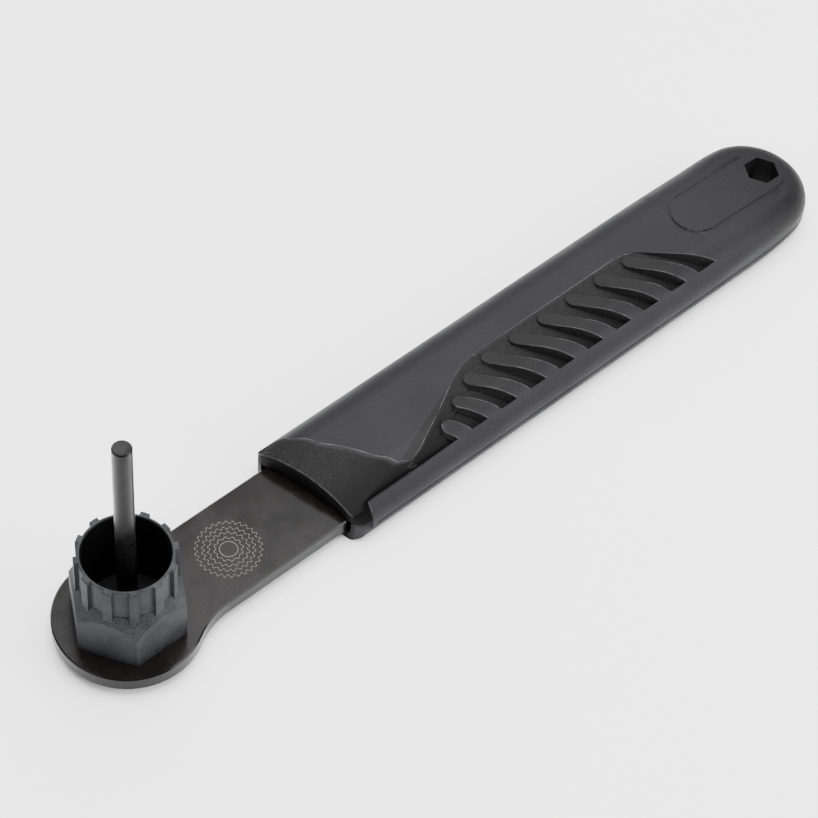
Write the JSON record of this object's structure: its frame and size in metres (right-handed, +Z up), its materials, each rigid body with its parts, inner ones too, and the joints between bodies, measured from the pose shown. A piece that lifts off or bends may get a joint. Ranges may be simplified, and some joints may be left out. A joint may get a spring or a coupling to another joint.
{
  "type": "cassette lockring tool",
  "caption": "Flat steel bar with a splined socket and guide pin on its round head, and a moulded handle with a scooped, ribbed recess and a hexagonal hanging hole.",
  "frame": {"origin": "on the socket's axis at the underside of the blade's round head", "axes": "+Z up along the guide pin, +X along the handle towards its tail, +Y to the left of the handle seen from its head"},
  "size_m": [0.2329, 0.035, 0.0692],
  "materials": {
    "blade_steel": "satin dark coating",
    "socket_steel": "matt dark phosphated",
    "pin_steel": "satin dark",
    "handle_plastic": "matt with a fine moulded grain"
  },
  "bodies": {
    "root": {"blade": "blade_steel", "lockring_socket": "socket_steel", "guide_pin": "pin_steel", "handle_grip": "handle_plastic"}
  },
  "joints": []
}
